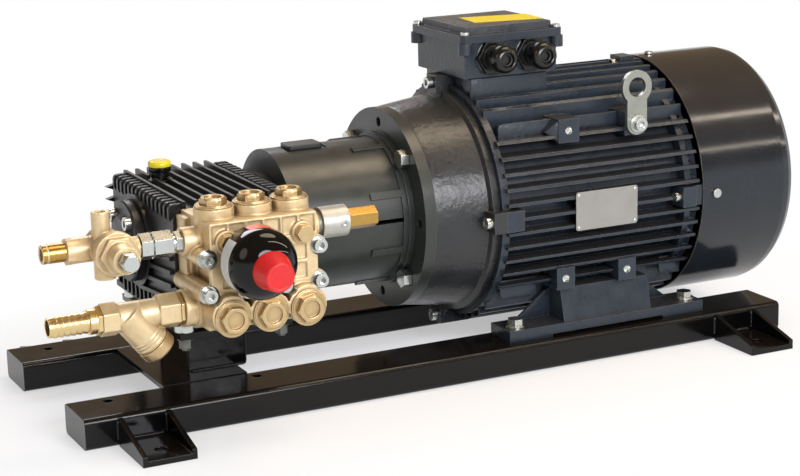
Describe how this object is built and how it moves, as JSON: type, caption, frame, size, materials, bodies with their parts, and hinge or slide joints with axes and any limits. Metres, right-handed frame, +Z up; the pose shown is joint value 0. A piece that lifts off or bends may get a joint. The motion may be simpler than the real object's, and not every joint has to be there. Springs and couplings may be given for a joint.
{
  "type": "high-pressure pump",
  "caption": "Skid-mounted high-pressure plunger pump: electric motor, bell housing with coupling, finned crankcase, brass head with damper, bypass valve and strainer.",
  "frame": {"origin": "centre of the four foot holes, on the floor", "axes": "+X along the shaft from the pump to the fan, -Y the side the pump head faces, +Z up"},
  "size_m": [1.024, 0.566, 0.425],
  "materials": {
    "rail_paint": "gloss black powder coat",
    "case_paint": "satin black paint on cast aluminium",
    "motor_paint": "anthracite satin paint on castings",
    "zinc": "zinc plated",
    "steel": "ground steel",
    "core_steel": "stacked electrical steel",
    "cast_brass": "blasted cast brass",
    "bright_brass": "machined brass",
    "damper_paint": "gloss black paint",
    "red_plastic": "matt red plastic",
    "black_plastic": "satin black plastic",
    "oil_plastic": "yellow plastic top on a black neck",
    "plate_metal": "satin aluminium",
    "hub_iron": "machined cast iron",
    "spider_rubber": "hard elastomer"
  },
  "bodies": {
    "unit": {"bearing_cover": "case_paint", "bearing_cover_bolts": "zinc", "bell_adapter": "case_paint", "bell_bolts": "zinc", "bell_housing": "case_paint", "bypass_valve": "cast_brass", "cable_glands": "black_plastic", "cowl_screws": "zinc", "crankcase": "case_paint", "crankcase_rear_cover": "case_paint", "cross_member": "rail_paint", "damper_body": "damper_paint", "drive_endshield": "motor_paint", "fan_cowl": "motor_paint", "frame_feet": "rail_paint", "front_rail": "rail_paint", "front_valve_caps": "bright_brass", "gallery_plugs": "bright_brass", "gland_nuts": "black_plastic", "head_bolts": "zinc", "hose_tail": "bright_brass", "inlet_nipple": "bright_brass", "inspection_cover": "case_paint", "lid_screws": "zinc", "lifting_eye": "zinc", "lifting_eye_bolt": "zinc", "manifold": "cast_brass", "motor_bearings": "steel", "motor_feet": "motor_paint", "motor_foot_bolts": "zinc", "motor_frame": "motor_paint", "outlet_nipple": "zinc", "pump_bearings": "steel", "pump_foot_bolts": "zinc", "pump_spacers": "zinc", "pump_stand": "rail_paint", "rating_plate": "plate_metal", "rear_cover_bolts": "zinc", "rear_endshield": "motor_paint", "rear_rail": "rail_paint", "relief_body": "zinc", "stator_core": "core_steel", "strainer_body": "cast_brass", "terminal_box": "motor_paint", "terminal_lid": "motor_paint", "tie_bolts": "zinc", "top_valve_caps": "bright_brass"},
    "shaft_line": {"motor_shaft": "steel", "rotor_core": "core_steel", "cooling_fan": "black_plastic", "coupling_motor_hub": "hub_iron", "coupling_spider": "spider_rubber", "coupling_pump_hub": "hub_iron", "pump_shaft": "steel"},
    "oil_plug": {"oil_plug": "oil_plastic"},
    "damper_cap": {"damper_cap": "red_plastic"},
    "strainer_cap": {"strainer_cap": "bright_brass"},
    "bypass_adjuster": {"bypass_adjuster": "zinc"},
    "relief_adjuster": {"relief_adjuster": "bright_brass"}
  },
  "joints": [
    {"name": "shaft_spin", "type": "hinge", "parent": "unit", "child": "shaft_line", "pos_m": [0, 0, 0.197], "axis": [1, 0, 0], "continuous": true},
    {"name": "oil_plug_lift", "type": "slide", "parent": "unit", "child": "oil_plug", "axis": [0, 0, 1], "range_m": [0, 0.04]},
    {"name": "damper_cap_pull", "type": "slide", "parent": "unit", "child": "damper_cap", "axis": [0, -1, 0], "range_m": [0, 0.03]},
    {"name": "strainer_cap_turn", "type": "hinge", "parent": "unit", "child": "strainer_cap", "pos_m": [-0.423, -0.168, 0.153], "axis": [0.6293, 0, -0.7771], "range_deg": [0, 1440]},
    {"name": "bypass_turn", "type": "hinge", "parent": "unit", "child": "bypass_adjuster", "pos_m": [-0.44, -0.231, 0.233], "axis": [0, -1, 0], "range_deg": [-720, 720]},
    {"name": "relief_turn", "type": "hinge", "parent": "unit", "child": "relief_adjuster", "pos_m": [-0.158, -0.178, 0.233], "axis": [1, 0, 0], "range_deg": [-720, 720]}
  ]
}
